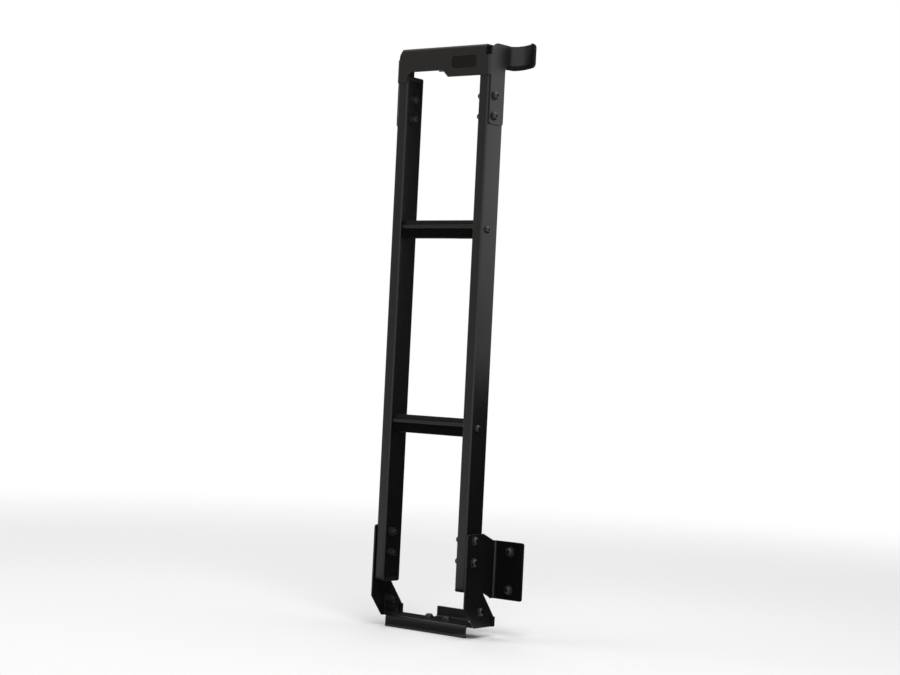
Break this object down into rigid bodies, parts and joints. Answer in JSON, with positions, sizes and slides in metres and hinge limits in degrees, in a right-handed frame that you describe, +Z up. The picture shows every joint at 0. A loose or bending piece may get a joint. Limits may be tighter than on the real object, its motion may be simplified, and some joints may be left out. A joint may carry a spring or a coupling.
{
  "type": "vehicle ladder",
  "caption": "Narrow black ladder for a vehicle's rear door: hollow rails, ribbed rungs, a top bracket that hooks over the door, a hinge bracket and stepped feet with a lower clamp",
  "frame": {"origin": "on the flat mating face of the hinge bracket, midway between its two bolt holes", "axes": "+Z up along the rails, +Y from the climbing side towards the vehicle, +X to the right as seen by a climber"},
  "size_m": [0.2643, 0.111, 1.0252],
  "materials": {
    "rail_coat": "satin black powder coat on aluminium",
    "bracket_coat": "satin black powder coat on folded steel",
    "cap_plastic": "moulded black plastic, lightly grained",
    "blank_plate": "smooth black plate with nothing on it",
    "rubber": "matt black rubber"
  },
  "bodies": {
    "root": {"left_rail": "rail_coat", "right_rail": "rail_coat", "upper_rung": "rail_coat", "lower_rung": "rail_coat", "left_rail_top_cap": "cap_plastic", "left_rail_bottom_cap": "cap_plastic", "right_rail_top_cap": "cap_plastic", "right_rail_bottom_cap": "cap_plastic", "top_bracket": "bracket_coat", "hinge_bracket": "bracket_coat", "left_foot": "bracket_coat", "right_foot": "bracket_coat", "bottom_plate": "bracket_coat", "clamp_hook": "bracket_coat", "name_plate": "blank_plate", "hook_pad": "rubber", "arm_pad": "rubber", "left_foot_trim": "rubber", "right_foot_trim": "rubber"}
  },
  "joints": []
}
